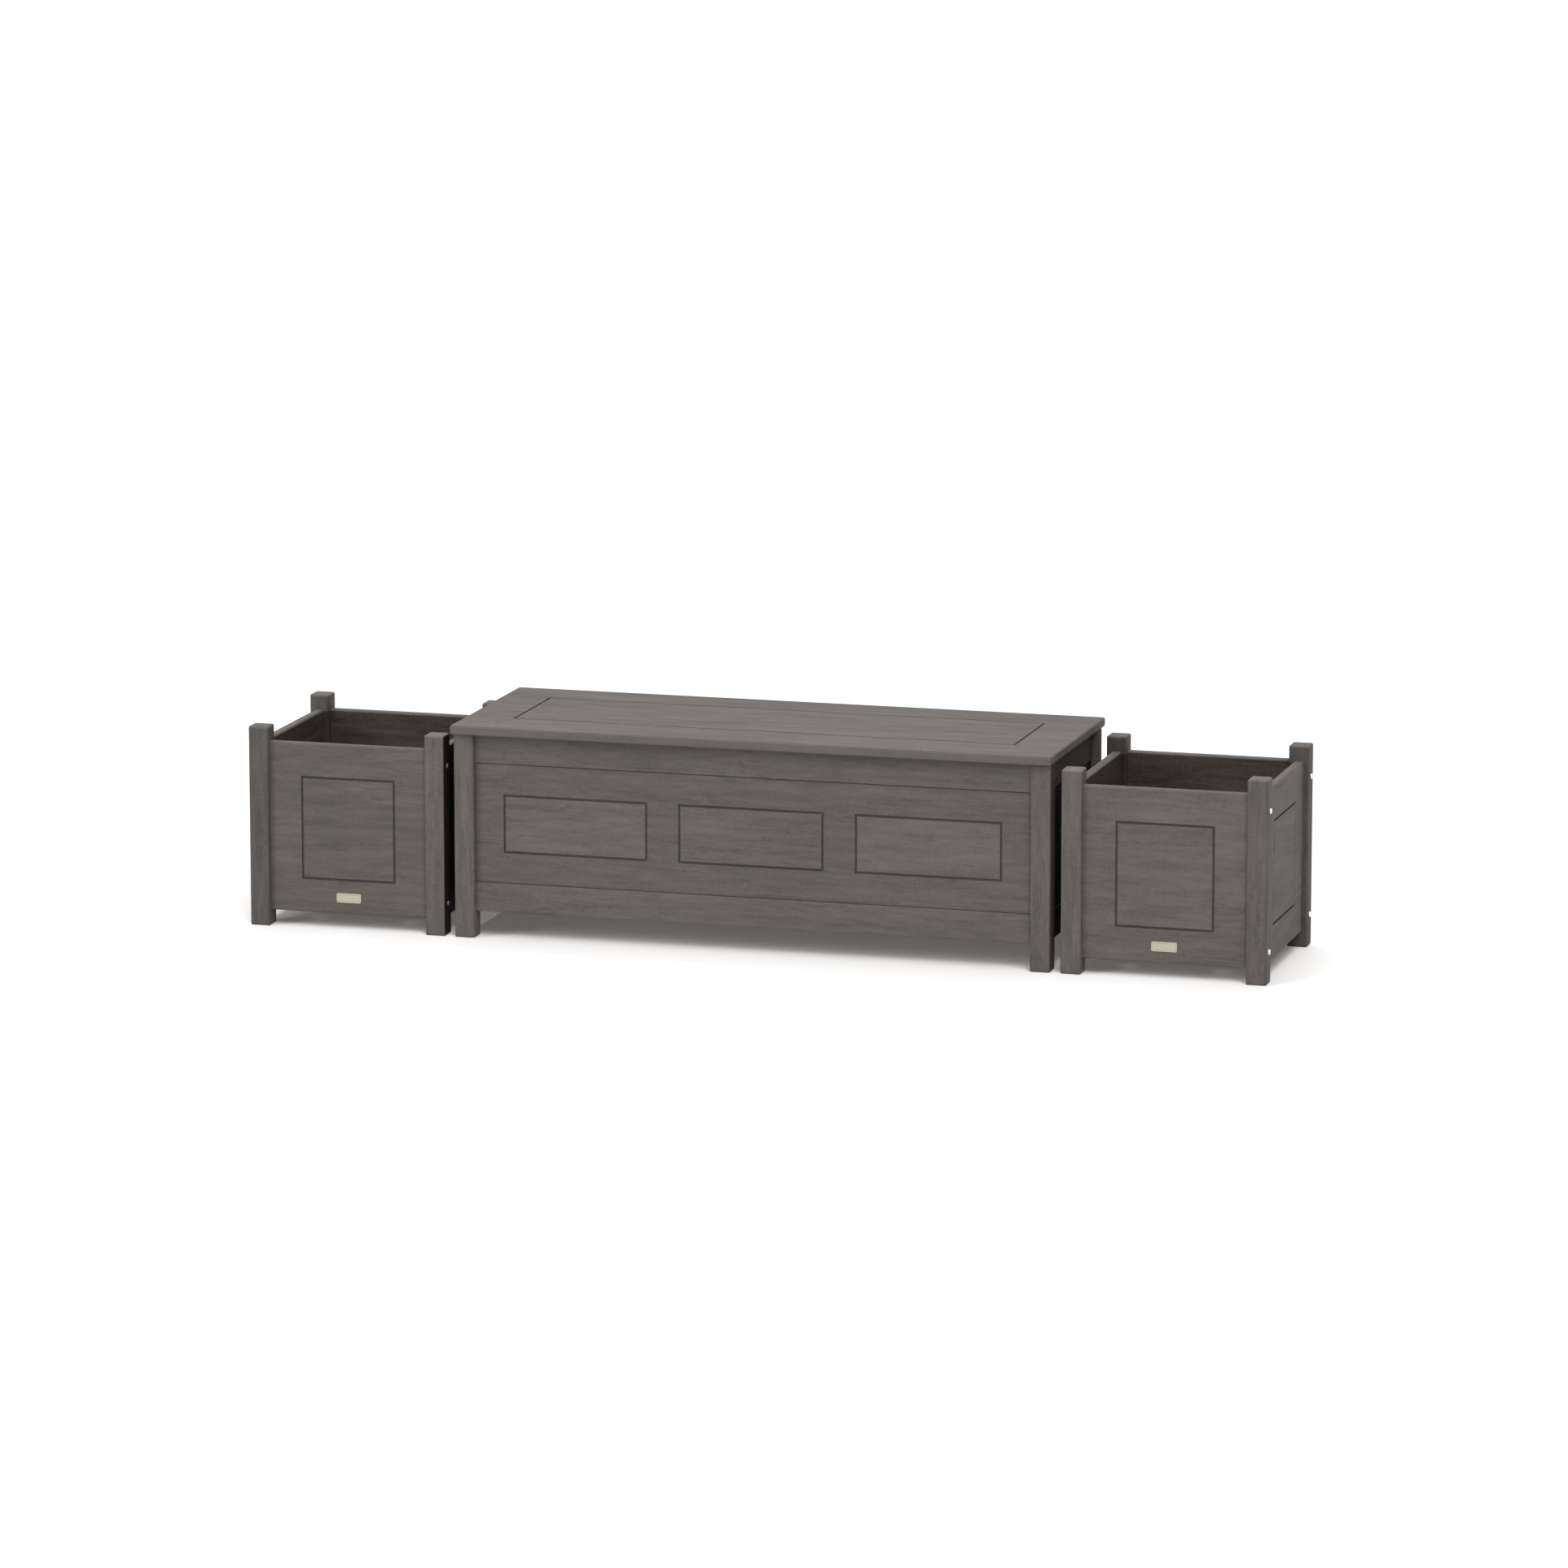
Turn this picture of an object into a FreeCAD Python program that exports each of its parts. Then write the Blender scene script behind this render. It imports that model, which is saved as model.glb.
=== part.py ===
import FreeCAD, Part
import math
import os

os.makedirs("parts", exist_ok=True)
Vector = FreeCAD.Vector

# A timber storage bench with a hinged seat lid, between two open planter boxes.
# Lengths are in millimetres: X along the bench, Y from front to back, Z up.
# The origin is on the floor, under the middle of the lid.

# Chest under the seat
CHEST_LENGTH = 1189.0
CHEST_DEPTH = 407.0
LEG_SIZE = 40.0
LEG_HEIGHT = 402.0
LEG_ROUND = 4.0
RAIL_HEIGHT = 57.5
RAIL_THICK = 20.0
RAIL_ROUND = 2.0
RAIL_LIFT = 52.0
PANEL_THICK = 16.0
PANEL_GAP = 1.0

# Tongues and the grooves that hold them
TONGUE_THICK = 10.0
TONGUE_DEPTH = 8.0
TONGUE_END_PLAY = 0.5

# Routed lines that draw a rectangle on a board
LINE_WIDTH = 4.5
LINE_DEPTH = 3.0
CHEST_FIELDS = 3
CHEST_FIELD_GAP = 66.5
CHEST_FIELD_SIDE = 59.5
CHEST_FIELD_EDGE = 62.0

# Slatted floor of the chest
CLEAT_SIZE = 18.0
CHEST_CLEAT_LIFT = 6.0
SLAT_COUNT = 10
SLAT_WIDTH = 92.0
SLAT_THICK = 12.0
SLAT_ROUND = 1.5
FLOOR_PLAY = 1.5

# Seat lid
LID_THICK = 18.0
LID_END_OVERHANG = 3.0
LID_FRONT_OVERHANG = 14.0
LID_BACK_OVERHANG = 14.0
LID_ROUND = 4.0
LID_FIELD_END = 97.5
LID_FIELD_FRONT = 106.0
LID_FIELD_BACK = 99.0
BATTEN_WIDTH = 45.0
BATTEN_THICK = 18.0
BATTEN_INSET = 124.5
BATTEN_END_GAP = 14.0
BATTEN_ROUND = 3.0

# Butt hinges on the back rail, let in flush
HINGE_INSET = 194.5
HINGE_LENGTH = 76.0
KNUCKLES = 5
KNUCKLE_GAP = 0.3
BARREL_RADIUS = 4.0
BARREL_SETBACK = 5.0
PIN_RADIUS = 2.0
PIN_PLAY = 0.05
PIN_HEAD_RADIUS = 3.2
PIN_HEAD_LENGTH = 1.5
LEAF_WIDTH = 22.0
LEAF_THICK = 1.8
LEAF_CORNER = 3.0
LEAF_GAP = 0.4
LEAF_PLAY = 0.2
BARREL_PLAY = 0.5
HINGE_SCREWS = 3
SCREW_HOLE_RADIUS = 2.0
SCREW_SINK_RADIUS = 3.6

# Slotted lid stays, one at each end of the chest
STAY_REACH = 150.0
STAY_DROP = 16.0
STUD_DROP = 40.0
LID_OPEN_ANGLE = 95.0
STAY_WIDTH = 14.0
STAY_THICK = 2.0
STAY_RAIL_GAP = 4.0
STAY_PIVOT_RADIUS = 2.5
STAY_PIVOT_PLAY = 0.05
STAY_SIDE_PLAY = 0.4
STUD_RADIUS = 3.0
STUD_PLAY = 0.4
STUD_HEAD_RADIUS = 5.5
STUD_HEAD_LENGTH = 1.8
STUD_COLLAR_RADIUS = 5.0
STUD_PLATE_LENGTH = 40.0
STUD_PLATE_HEIGHT = 16.0
STUD_PLATE_THICK = 2.0
BRACKET_LENGTH = 36.0
BRACKET_FOOT = 20.0
BRACKET_THICK = 2.0
BRACKET_TAB_RADIUS = 8.0
RIVET_HEAD_RADIUS = 4.5
RIVET_HEAD_LENGTH = 1.2

# Planter boxes
PLANTER_SIZE = 400.0
PLANTER_HEIGHT = 395.0
PLANTER_GAP = 20.0
POST_SIZE = 40.0
POST_ROUND = 4.0
BOX_PANEL_THICK = 18.0
BOX_PANEL_LIFT = 30.0
BOX_PANEL_DROP = 30.0
BOX_PANEL_ROUND = 4.0
BOX_FIELD_SIDE = 66.0
BOX_FIELD_EDGE = 67.5
BOX_CLEAT_LIFT = 4.0
BOX_FLOOR_THICK = 12.0
DRAIN_RADIUS = 8.0
DRAIN_SPREAD = 90.0

# Connector bolts of the planter boxes and their nuts, sleeves set in the panels' ends
BOLT_INSET = 32.0
BOLT_RADIUS = 3.0
BOLT_HOLE_PLAY = 0.3
BOLT_REACH = 20.0
BOLT_END_ROOM = 3.0
BOLT_HEAD_RADIUS = 5.5
BOLT_HEAD_HEIGHT = 3.2
BOLT_HEAD_ROUND = 2.4
BOLT_SOCKET_RADIUS = 2.3
BOLT_SOCKET_DEPTH = 2.2
NUT_SETBACK = 1.0
NUT_RADIUS = 5.0
NUT_LENGTH = 15.0
NUT_PLAY = 0.1
THREAD_PLAY = 0.05

# Bare name plates
PLATE_LENGTH = 50.0
PLATE_HEIGHT = 18.5
PLATE_LIFT = 62.0
PLATE_THICK = 1.5
PLATE_CORNER = 3.0

# Places that follow from the sizes above
LEG_X = (CHEST_LENGTH - LEG_SIZE) / 2
LEG_Y = (CHEST_DEPTH - LEG_SIZE) / 2
FRONT_SPAN = CHEST_LENGTH - 2 * LEG_SIZE
SIDE_SPAN = CHEST_DEPTH - 2 * LEG_SIZE
TOP_RAIL_LOW = LEG_HEIGHT - RAIL_HEIGHT
PANEL_LOW = RAIL_LIFT + RAIL_HEIGHT
GROOVE_DEPTH = TONGUE_DEPTH + TONGUE_END_PLAY
LID_TOP = LEG_HEIGHT + LID_THICK
RAIL_INNER_X = LEG_X - RAIL_THICK / 2
RAIL_INNER_Y = LEG_Y - RAIL_THICK / 2
BATTEN_X = CHEST_LENGTH / 2 - BATTEN_INSET
HINGE_X = CHEST_LENGTH / 2 - HINGE_INSET
AXIS_Y = CHEST_DEPTH / 2 + BARREL_SETBACK
AXIS_Z = LEG_HEIGHT
STAY_X = RAIL_INNER_X - STAY_RAIL_GAP - STAY_THICK
PIVOT_Y = AXIS_Y - STAY_REACH
PIVOT_Z = AXIS_Z - STAY_DROP
STAY_RADIUS = math.hypot(STAY_REACH, STAY_DROP)
STUD_Y = AXIS_Y - math.sqrt(STAY_RADIUS ** 2 - STUD_DROP ** 2)
STUD_Z = AXIS_Z - STUD_DROP
POST_XY = (PLANTER_SIZE - POST_SIZE) / 2
BOX_SPAN = PLANTER_SIZE - 2 * POST_SIZE
BOX_PANEL_TOP = PLANTER_HEIGHT - BOX_PANEL_DROP
BOX_INNER = POST_XY - BOX_PANEL_THICK / 2
BOX_FLOOR_LOW = BOX_PANEL_LIFT + BOX_CLEAT_LIFT + CLEAT_SIZE
BOLT_LEVELS = (BOX_PANEL_LIFT + BOLT_INSET, BOX_PANEL_TOP - BOLT_INSET)
PLANTER_X = CHEST_LENGTH / 2 + PLANTER_GAP + PLANTER_SIZE / 2
PLANTER_Y = (PLANTER_SIZE - CHEST_DEPTH) / 2
OVERSHOOT = 1.0

AXES = {"x": Vector(1, 0, 0), "y": Vector(0, 1, 0), "z": Vector(0, 0, 1)}
CENTRE = Vector(0, 0, 0)


def box(x, y, z):
    """A block between the low and high value of each pair."""
    size = (x[1] - x[0], y[1] - y[0], z[1] - z[0])
    return Part.makeBox(*size, Vector(x[0], y[0], z[0]))


def about(middle, size):
    """The low and high ends of a length centred on a value."""
    return middle - size / 2, middle + size / 2


def rod(axis, start, radius, length):
    """A round bar along a row axis, from the point start."""
    return Part.makeCylinder(radius, length, Vector(*start), AXES[axis])


def along(shape, axis):
    """The straight edges of a shape that lie along one row axis."""
    return [
        edge for edge in shape.Edges
        if edge.tangentAt(edge.FirstParameter).cross(AXES[axis]).Length < 1e-6
    ]


def mirrored(shape, axis):
    """The shape's mirror image across the plane through the origin."""
    return shape.mirror(CENTRE, AXES[axis])


def placed(shape, turn, x, y):
    """A copy turned about Z, then moved over the floor."""
    copy = shape.copy()
    copy.rotate(CENTRE, AXES["z"], turn)
    copy.translate(Vector(x, y, 0))
    return copy


def save(name, shape):
    """Write one piece, or one group of identical pieces, under its name."""
    if not shape.isValid():
        raise ValueError("invalid shape: " + name)
    shape.exportStep("parts/" + name + ".step")


def routed_rectangle(x, z, face, inward):
    """The cutter for a rectangle drawn on a face that looks along Y."""
    half = LINE_WIDTH / 2
    depth = sorted((face - inward * OVERSHOOT, face + inward * LINE_DEPTH))
    outer = box((x[0] - half, x[1] + half), depth, (z[0] - half, z[1] + half))
    inner = box((x[0] + half, x[1] - half), depth, (z[0] + half, z[1] - half))
    return outer.cut(inner)


# Chest frame

def chest_leg():
    """Front left leg, grooved on its two inner faces for rails and panels."""
    block = box(about(0, LEG_SIZE), about(0, LEG_SIZE), (0, LEG_HEIGHT))
    leg = block.makeFillet(LEG_ROUND, block.Edges)
    rise = (RAIL_LIFT, LEG_HEIGHT + OVERSHOOT)
    deep = (LEG_SIZE / 2 - GROOVE_DEPTH, LEG_SIZE / 2 + OVERSHOOT)
    leg = leg.cut(box(deep, about(0, TONGUE_THICK), rise))
    leg = leg.cut(box(about(0, TONGUE_THICK), deep, rise))
    leg.translate(Vector(-LEG_X, -LEG_Y, 0))
    return leg


def rail(span, low, groove_up):
    """A rail with a tongue at each end and a groove along its panel edge."""
    high = low + RAIL_HEIGHT
    block = box(about(0, span), about(0, RAIL_THICK), (low, high))
    board = block.makeFillet(RAIL_ROUND, along(block, "x"))
    reach = span + 2 * TONGUE_DEPTH
    board = board.fuse(box(about(0, reach), about(0, TONGUE_THICK), (low, high)))
    slot = (high - GROOVE_DEPTH, high) if groove_up else (low, low + GROOVE_DEPTH)
    return board.cut(box(about(0, reach), about(0, TONGUE_THICK), slot)).removeSplitter()


def hinge_rail():
    """Back top rail, as deep as the legs' backs, with seats for the hinges."""
    board = rail(FRONT_SPAN, TOP_RAIL_LOW, False)
    thick = (-LEG_SIZE / 2, RAIL_ROUND - RAIL_THICK / 2)
    block = box(about(0, FRONT_SPAN), thick, (TOP_RAIL_LOW, LEG_HEIGHT))
    edges = [edge for edge in along(block, "x") if edge.BoundBox.YMax < -RAIL_THICK / 2]
    board = board.fuse(block.makeFillet(RAIL_ROUND, edges)).removeSplitter()
    board = placed(board, 180, 0, LEG_Y)
    for side in (-1, 1):
        board = board.cut(leaf_seat(side * HINGE_X, -1))
    return board


def framed_panel(span, fields):
    """A panel that floats in the grooves of its frame, with drawn fields."""
    low = PANEL_LOW
    high = TOP_RAIL_LOW
    panel = box(
        about(0, span - 2 * PANEL_GAP),
        about(0, PANEL_THICK),
        (low + PANEL_GAP, high - PANEL_GAP),
    )
    tongue = box(
        about(0, span + 2 * TONGUE_DEPTH),
        about(0, TONGUE_THICK),
        (low - GROOVE_DEPTH, high + TONGUE_DEPTH),
    )
    panel = panel.fuse(tongue).removeSplitter()
    room = span - 2 * CHEST_FIELD_SIDE - (fields - 1) * CHEST_FIELD_GAP
    width = room / fields if fields else 0
    for index in range(fields):
        left = -span / 2 + CHEST_FIELD_SIDE + index * (width + CHEST_FIELD_GAP)
        panel = panel.cut(routed_rectangle(
            (left, left + width),
            (low + CHEST_FIELD_EDGE, high - CHEST_FIELD_EDGE),
            -PANEL_THICK / 2,
            1,
        ))
    return panel


def chest_cleat():
    """The front ledge that carries the ends of the floor slats."""
    low = RAIL_LIFT + CHEST_CLEAT_LIFT
    inner = -RAIL_INNER_Y
    return box(about(0, FRONT_SPAN), (inner, inner + CLEAT_SIZE), (low, low + CLEAT_SIZE))


def chest_slats():
    """Floor slats side by side, with equal gaps to let the air through."""
    low = RAIL_LIFT + CHEST_CLEAT_LIFT + CLEAT_SIZE
    depth = 2 * (RAIL_INNER_Y - FLOOR_PLAY)
    room = FRONT_SPAN - 2 * FLOOR_PLAY
    pitch = (room - SLAT_WIDTH) / (SLAT_COUNT - 1)
    slats = []
    for index in range(SLAT_COUNT):
        left = -room / 2 + index * pitch
        slat = box((left, left + SLAT_WIDTH), about(0, depth), (low, low + SLAT_THICK))
        slats.append(slat.makeFillet(SLAT_ROUND, along(slat, "y")))
    return Part.makeCompound(slats)


# Lid

def lid_board():
    """The seat: one wide board with a drawn rectangle and hinge seats below."""
    length = CHEST_LENGTH + 2 * LID_END_OVERHANG
    front = -CHEST_DEPTH / 2 - LID_FRONT_OVERHANG
    back = CHEST_DEPTH / 2 + LID_BACK_OVERHANG
    block = box(about(0, length), (front, back), (LEG_HEIGHT, LID_TOP))
    board = block.makeFillet(LID_ROUND, block.Edges)
    half = LINE_WIDTH / 2
    x = about(0, length - 2 * LID_FIELD_END)
    y = (front + LID_FIELD_FRONT, back - LID_FIELD_BACK)
    z = (LID_TOP - LINE_DEPTH, LID_TOP + OVERSHOOT)
    outer = box((x[0] - half, x[1] + half), (y[0] - half, y[1] + half), z)
    inner = box((x[0] + half, x[1] - half), (y[0] + half, y[1] - half), z)
    board = board.cut(outer.cut(inner))
    for side in (-1, 1):
        board = board.cut(leaf_seat(side * HINGE_X, 1))
        board = board.cut(barrel_channel(side * HINGE_X))
    return board


def lid_batten():
    """Right batten, screwed across the lid to keep it flat."""
    back = RAIL_INNER_Y - BATTEN_END_GAP
    block = box(about(BATTEN_X, BATTEN_WIDTH), (-back, back), (LEG_HEIGHT - BATTEN_THICK, LEG_HEIGHT))
    low_edges = [edge for edge in block.Edges if edge.BoundBox.ZMax < LEG_HEIGHT - BATTEN_THICK / 2]
    return block.makeFillet(BATTEN_ROUND, low_edges)


# Hinges

def leaf_plate(x, side, play):
    """A leaf's flat plate, on the side of the closing plane that side names."""
    near = side * (LEAF_GAP / 2 if play == 0 else 0)
    far = side * (LEAF_GAP / 2 + LEAF_THICK)
    z = sorted((AXIS_Z + near, AXIS_Z + far))
    back = AXIS_Y - BARREL_RADIUS - BARREL_PLAY
    y = (back - LEAF_WIDTH - play, back)
    return box(about(x, HINGE_LENGTH + 2 * play), y, z)


def leaf_seat(x, side):
    """The cutter for a leaf's seat, open at the barrel and at the surface."""
    seat = leaf_plate(x, side, LEAF_PLAY)
    corners = [edge for edge in along(seat, "z") if edge.BoundBox.YMax < AXIS_Y - LEAF_WIDTH]
    seat = seat.makeFillet(LEAF_CORNER, corners)
    mouth_z = sorted((AXIS_Z, AXIS_Z + side * (LEAF_GAP / 2 + LEAF_THICK)))
    back = AXIS_Y - BARREL_RADIUS - BARREL_PLAY
    mouth = box(about(x, HINGE_LENGTH + 2 * LEAF_PLAY), (back - OVERSHOOT, AXIS_Y), mouth_z)
    return seat.fuse(mouth)


def barrel_channel(x):
    """The half round channel in the lid that clears the hinge barrel."""
    length = HINGE_LENGTH + 2 * (PIN_HEAD_LENGTH + BARREL_PLAY)
    start = (x - length / 2, AXIS_Y, AXIS_Z)
    return rod("x", start, BARREL_RADIUS + BARREL_PLAY, length)


def hinge_leaf(x, side):
    """A leaf with its share of the knuckles and its countersunk holes."""
    plate = leaf_plate(x, side, 0)
    corners = [edge for edge in along(plate, "z") if edge.BoundBox.YMax < AXIS_Y - LEAF_WIDTH]
    leaf = plate.makeFillet(LEAF_CORNER, corners)
    z = sorted((AXIS_Z + side * LEAF_GAP / 2, AXIS_Z + side * (LEAF_GAP / 2 + LEAF_THICK)))
    step = HINGE_LENGTH / KNUCKLES
    first = 0 if side < 0 else 1
    for index in range(first, KNUCKLES, 2):
        left = x - HINGE_LENGTH / 2 + index * step + KNUCKLE_GAP / 2
        right = left + step - KNUCKLE_GAP
        back = AXIS_Y - BARREL_RADIUS - BARREL_PLAY
        leaf = leaf.fuse(box((left, right), (back - OVERSHOOT, AXIS_Y), z))
        leaf = leaf.fuse(rod("x", (left, AXIS_Y, AXIS_Z), BARREL_RADIUS, right - left))
    start = (x - HINGE_LENGTH / 2 - OVERSHOOT, AXIS_Y, AXIS_Z)
    leaf = leaf.cut(rod("x", start, PIN_RADIUS + PIN_PLAY, HINGE_LENGTH + 2 * OVERSHOOT))
    return drilled_leaf(leaf, x, side, z).removeSplitter()


def drilled_leaf(leaf, x, side, z):
    """Drill and countersink the screw holes from the face that the leaf shows."""
    y = AXIS_Y - BARREL_RADIUS - BARREL_PLAY - LEAF_WIDTH / 2
    pitch = HINGE_LENGTH / HINGE_SCREWS
    shown = z[1] if side < 0 else z[0]
    through = LEAF_THICK + 2 * OVERSHOOT
    for index in range(HINGE_SCREWS):
        hole_x = x - HINGE_LENGTH / 2 + (index + 0.5) * pitch
        leaf = leaf.cut(rod("z", (hole_x, y, z[0] - OVERSHOOT), SCREW_HOLE_RADIUS, through))
        sink = Part.makeCone(
            SCREW_SINK_RADIUS,
            SCREW_HOLE_RADIUS,
            LEAF_THICK,
            Vector(hole_x, y, shown),
            Vector(0, 0, side),
        )
        leaf = leaf.cut(sink)
    return leaf


def hinge_pin(x):
    """A hinge pin with a round head at each end."""
    half = HINGE_LENGTH / 2
    pin = rod("x", (x - half, AXIS_Y, AXIS_Z), PIN_RADIUS, HINGE_LENGTH)
    play = PIN_PLAY
    for start in (x - half - PIN_HEAD_LENGTH - play, x + half + play):
        head = rod("x", (start, AXIS_Y, AXIS_Z), PIN_HEAD_RADIUS, PIN_HEAD_LENGTH)
        pin = pin.fuse(head)
    ends = rod("x", (x - half - play - 0.5, AXIS_Y, AXIS_Z), PIN_RADIUS, HINGE_LENGTH + 2 * play + 1.0)
    return pin.fuse(ends).removeSplitter()


# Lid stays

def stay_distance(angle):
    """How far the stud lies from the stay's pivot with the lid at an angle."""
    rest = math.asin(STUD_DROP / STAY_RADIUS) - math.asin(STAY_DROP / STAY_RADIUS)
    return 2 * STAY_RADIUS * math.sin((rest + math.radians(angle)) / 2)


def obround(start, end, radius):
    """A flat bar with round ends, in the plane of the right stay."""
    span = end - start
    bar = box((0, STAY_THICK), (start, end), (-radius, radius))
    bar = bar.fuse(rod("x", (0, start, 0), radius, STAY_THICK))
    if span > 0:
        bar = bar.fuse(rod("x", (0, end, 0), radius, STAY_THICK))
    return bar.removeSplitter()


def stay_arm():
    """Right stay: a flat arm, pivoted on the lid, whose slot rides on a stud."""
    near = stay_distance(0) - STUD_PLAY
    far = stay_distance(LID_OPEN_ANGLE) + STUD_PLAY
    arm = obround(0, far + STUD_RADIUS, STAY_WIDTH / 2)
    slot = obround(near, far, STUD_RADIUS + STUD_PLAY)
    hole = rod("x", (0, 0, 0), STAY_PIVOT_RADIUS + STAY_PIVOT_PLAY, STAY_THICK)
    arm = arm.cut(slot).cut(hole)
    lean = math.degrees(math.atan2(STUD_Z - PIVOT_Z, STUD_Y - PIVOT_Y))
    arm.rotate(CENTRE, AXES["x"], lean)
    arm.translate(Vector(STAY_X, PIVOT_Y, PIVOT_Z))
    return arm


def stay_bracket():
    """Right bracket under the lid, with the rivet that the stay turns on."""
    foot_x = (STAY_X - STAY_SIDE_PLAY - BRACKET_FOOT, STAY_X - STAY_SIDE_PLAY)
    foot = box(foot_x, about(PIVOT_Y, BRACKET_LENGTH), (LEG_HEIGHT - BRACKET_THICK, LEG_HEIGHT))
    tab_x = (foot_x[1] - BRACKET_THICK, foot_x[1])
    tab = box(tab_x, about(PIVOT_Y, 2 * BRACKET_TAB_RADIUS), (PIVOT_Z, LEG_HEIGHT - BRACKET_THICK))
    tab = tab.fuse(rod("x", (tab_x[0], PIVOT_Y, PIVOT_Z), BRACKET_TAB_RADIUS, BRACKET_THICK))
    outside = STAY_X + STAY_THICK + STAY_SIDE_PLAY
    rivet = rod("x", (tab_x[0], PIVOT_Y, PIVOT_Z), STAY_PIVOT_RADIUS, outside - tab_x[0])
    head = rod("x", (outside, PIVOT_Y, PIVOT_Z), RIVET_HEAD_RADIUS, RIVET_HEAD_LENGTH)
    bracket = foot.fuse([tab, rivet, head]).removeSplitter()
    for side in (-1, 1):
        y = PIVOT_Y + side * (BRACKET_LENGTH / 2 - 2 * SCREW_SINK_RADIUS + SCREW_HOLE_RADIUS)
        start = (sum(foot_x) / 2, y, LEG_HEIGHT - BRACKET_THICK - OVERSHOOT)
        bracket = bracket.cut(rod("z", start, SCREW_HOLE_RADIUS, BRACKET_THICK + 2 * OVERSHOOT))
    return bracket


def stay_stud():
    """Right stud: a plate on the side rail with the headed stud in the slot."""
    plate_x = (RAIL_INNER_X - STUD_PLATE_THICK, RAIL_INNER_X)
    block = box(plate_x, about(STUD_Y, STUD_PLATE_LENGTH), about(STUD_Z, STUD_PLATE_HEIGHT))
    plate = block.makeFillet(LEAF_CORNER, along(block, "x"))
    collar_x = STAY_X + STAY_THICK + STAY_SIDE_PLAY
    collar = rod("x", (collar_x, STUD_Y, STUD_Z), STUD_COLLAR_RADIUS, plate_x[0] - collar_x)
    head_end = STAY_X - STAY_SIDE_PLAY
    stud = rod("x", (head_end, STUD_Y, STUD_Z), STUD_RADIUS, collar_x - head_end)
    head = rod("x", (head_end - STUD_HEAD_LENGTH, STUD_Y, STUD_Z), STUD_HEAD_RADIUS, STUD_HEAD_LENGTH)
    shape = plate.fuse([collar, stud, head]).removeSplitter()
    for side in (-1, 1):
        y = STUD_Y + side * (STUD_PLATE_LENGTH / 2 - STUD_PLATE_HEIGHT / 2)
        start = (plate_x[0] - OVERSHOOT, y, STUD_Z)
        shape = shape.cut(rod("x", start, SCREW_HOLE_RADIUS, STUD_PLATE_THICK + 2 * OVERSHOOT))
    return shape


# Planter boxes, about their own middle

def planter_post():
    """Front right post, grooved for the side panel and drilled for bolts."""
    block = box(about(POST_XY, POST_SIZE), about(-POST_XY, POST_SIZE), (0, PLANTER_HEIGHT))
    post = block.makeFillet(POST_ROUND, block.Edges)
    inner = -POST_XY + POST_SIZE / 2
    rise = (BOX_PANEL_LIFT, BOX_PANEL_TOP)
    post = post.cut(box(about(POST_XY, TONGUE_THICK), (inner - GROOVE_DEPTH, inner + OVERSHOOT), rise))
    for level in BOLT_LEVELS:
        start = (POST_XY - POST_SIZE / 2 - OVERSHOOT, -POST_XY, level)
        post = post.cut(rod("x", start, BOLT_RADIUS + BOLT_HOLE_PLAY, POST_SIZE + 2 * OVERSHOOT))
    return post


def box_panel():
    """A plain planter panel, outer face to the front, with its drawn square."""
    rise = (BOX_PANEL_LIFT, BOX_PANEL_TOP)
    block = box(about(0, BOX_SPAN), about(0, BOX_PANEL_THICK), rise)
    panel = block.makeFillet(BOX_PANEL_ROUND, along(block, "x"))
    side = BOX_SPAN / 2 - BOX_FIELD_SIDE
    z = (rise[0] + BOX_FIELD_EDGE, rise[1] - BOX_FIELD_EDGE)
    return panel.cut(routed_rectangle((-side, side), z, -BOX_PANEL_THICK / 2, 1))


def side_panel():
    """A side panel, glued into its posts by a tongue at each end."""
    reach = BOX_SPAN + 2 * TONGUE_DEPTH
    tongue = box(about(0, reach), about(0, TONGUE_THICK), (BOX_PANEL_LIFT, BOX_PANEL_TOP))
    hollow = box(about(0, BOX_SPAN), about(0, TONGUE_THICK), (BOX_PANEL_LIFT, BOX_PANEL_TOP))
    return box_panel().fuse(tongue.cut(hollow)).removeSplitter()


def end_panel():
    """A front or back panel, bored in its ends for the nuts and the bolts' tips."""
    panel = box_panel()
    bores = (
        (BOLT_RADIUS + BOLT_HOLE_PLAY, BOLT_REACH + BOLT_END_ROOM),
        (NUT_RADIUS + NUT_PLAY, NUT_SETBACK + NUT_LENGTH),
    )
    for side in (-1, 1):
        for level in BOLT_LEVELS:
            for radius, depth in bores:
                start = side * BOX_SPAN / 2 - (depth if side > 0 else 0)
                panel = panel.cut(rod("x", (start, 0, level), radius, depth))
    return panel


def box_cleat():
    """The front ledge that carries the planter's floor."""
    low = BOX_PANEL_LIFT + BOX_CLEAT_LIFT
    y = (-BOX_INNER, -BOX_INNER + CLEAT_SIZE)
    return box(about(0, BOX_SPAN), y, (low, low + CLEAT_SIZE))


def box_floor():
    """The planter's floor, notched round the posts, with drain holes."""
    size = 2 * (BOX_INNER - FLOOR_PLAY)
    z = (BOX_FLOOR_LOW, BOX_FLOOR_LOW + BOX_FLOOR_THICK)
    board = box(about(0, size), about(0, size), z)
    clear = BOX_SPAN / 2 - FLOOR_PLAY
    for side in (-1, 1):
        for end in (-1, 1):
            x = sorted((side * clear, side * size))
            y = sorted((end * clear, end * size))
            board = board.cut(box(x, y, z))
            hole = (side * DRAIN_SPREAD, end * DRAIN_SPREAD, z[0])
            board = board.cut(rod("z", hole, DRAIN_RADIUS, BOX_FLOOR_THICK))
    return board.cut(rod("z", (0, 0, z[0]), DRAIN_RADIUS, BOX_FLOOR_THICK))


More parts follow.
